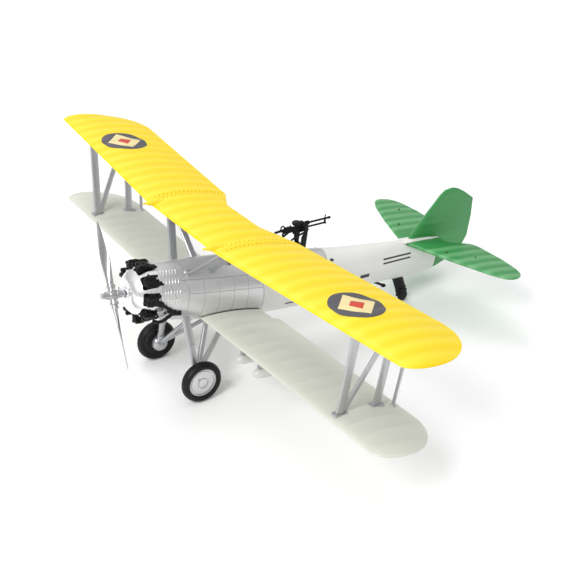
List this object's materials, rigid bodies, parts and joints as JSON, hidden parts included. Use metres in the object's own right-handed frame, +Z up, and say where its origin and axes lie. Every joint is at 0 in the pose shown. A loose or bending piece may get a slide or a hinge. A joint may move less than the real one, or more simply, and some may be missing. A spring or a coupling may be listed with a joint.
{
  "type": "biplane scale model",
  "caption": "Scale model of a two-seat radial-engined biplane with swept upper wing, open cockpits, rear gun ring, spoked-strut landing gear and tail wheel, standing on its wheels.",
  "frame": {"origin": "centre of the bounding box at ground level, where the model stands on its three wheels", "axes": "+X to the port wing tip, -Y to the nose, +Z up; the thrust line is tilted nose up by the three-point stance"},
  "size_m": [0.2074, 0.1504, 0.0572],
  "materials": {
    "bomb_silver": "satin silver",
    "clear_screen": "clear",
    "cockpit_dark": "matt dark",
    "cowl_silver": "bright silver",
    "engine_black": "satin black",
    "engine_grey": "matt dark grey",
    "exhaust_black": "matt black",
    "fork_black": "satin black",
    "fuselage_silver_and_fabric": "silver panels ahead, off-white behind",
    "gear_silver": "silver grey",
    "gun_black": "satin black",
    "propeller_grey": "satin silver grey",
    "rack_dark": "matt dark",
    "ring_silver": "satin silver",
    "seat_dark": "matt dark",
    "strut_silver": "silver grey",
    "tail_green": "satin green",
    "tail_wheel_black": "satin black",
    "tyre_black": "satin black",
    "upper_wing_yellow": "satin yellow",
    "wheel_silver": "satin light silver",
    "wing_cream": "satin off-white"
  },
  "bodies": {
    "airframe": {"aileron_link_left": "strut_silver", "aileron_link_right": "strut_silver", "arrestor_hook": "fork_black", "bomb_inner_left": "bomb_silver", "bomb_inner_right": "bomb_silver", "bomb_outer_left": "bomb_silver", "bomb_outer_right": "bomb_silver", "bomb_rack_left": "rack_dark", "bomb_rack_right": "rack_dark", "cabane_strut_front_left": "strut_silver", "cabane_strut_front_right": "strut_silver", "cabane_strut_rear_left": "strut_silver", "cabane_strut_rear_right": "strut_silver", "cockpit_floor": "cockpit_dark", "crankcase": "engine_grey", "cylinder_1": "engine_black", "cylinder_2": "engine_black", "cylinder_3": "engine_black", "cylinder_4": "engine_black", "cylinder_5": "engine_black", "cylinder_6": "engine_black", "cylinder_7": "engine_black", "cylinder_8": "engine_black", "cylinder_9": "engine_black", "exhaust_pipe_left": "exhaust_black", "exhaust_pipe_right": "exhaust_black", "fin_and_rudder": "tail_green", "front_seat": "seat_dark", "fuselage_left_half": "fuselage_silver_and_fabric", "fuselage_right_half": "fuselage_silver_and_fabric", "gear_leg_left": "gear_silver", "gear_leg_right": "gear_silver", "gear_radius_rods_left": "gear_silver", "gear_radius_rods_right": "gear_silver", "gun_ring": "ring_silver", "instrument_panel": "cockpit_dark", "interplane_strut_left": "strut_silver", "interplane_strut_right": "strut_silver", "lower_wing_left": "wing_cream", "lower_wing_right": "wing_cream", "nose_cowl": "cowl_silver", "rear_seat": "seat_dark", "tail_wheel_fork": "fork_black", "tailplane": "tail_green", "upper_wing": "upper_wing_yellow", "windscreen": "clear_screen", "wing_gun_fairing_left": "upper_wing_yellow", "wing_gun_fairing_right": "upper_wing_yellow"},
    "propeller": {"propeller_hub": "propeller_grey", "propeller_blade_1": "propeller_grey", "propeller_blade_2": "propeller_grey"},
    "wheel_left": {"wheel_disc_left": "wheel_silver", "tyre_left": "tyre_black"},
    "wheel_right": {"wheel_disc_right": "wheel_silver", "tyre_right": "tyre_black"},
    "tail_wheel": {"tail_wheel": "tail_wheel_black"},
    "gun_carriage": {"gun_mount": "gun_black"},
    "gun": {"machine_gun": "gun_black", "ammunition_drum": "gun_black"}
  },
  "joints": [
    {"name": "propeller_spin", "type": "hinge", "parent": "airframe", "child": "propeller", "pos_m": [0, -0.07118, 0.03825], "axis": [0, 0.9877, -0.1566], "continuous": true},
    {"name": "wheel_left_spin", "type": "hinge", "parent": "airframe", "child": "wheel_left", "pos_m": [0.01504, -0.04972, 0.007], "axis": [1, 0, 0], "continuous": true},
    {"name": "wheel_right_spin", "type": "hinge", "parent": "airframe", "child": "wheel_right", "pos_m": [-0.01504, -0.04972, 0.007], "axis": [1, 0, 0], "continuous": true},
    {"name": "tail_wheel_spin", "type": "hinge", "parent": "airframe", "child": "tail_wheel", "pos_m": [0, 0.04393, 0.00215], "axis": [1, 0, 0], "continuous": true},
    {"name": "gun_traverse", "type": "hinge", "parent": "airframe", "child": "gun_carriage", "pos_m": [0, -0.00698, 0.03546], "axis": [0, 0.1566, 0.9877], "range_deg": [-100, 100]},
    {"name": "gun_elevation", "type": "hinge", "parent": "gun_carriage", "child": "gun", "pos_m": [0, -0.00065, 0.04215], "axis": [1, 0, 0], "range_deg": [-10, 30]}
  ]
}
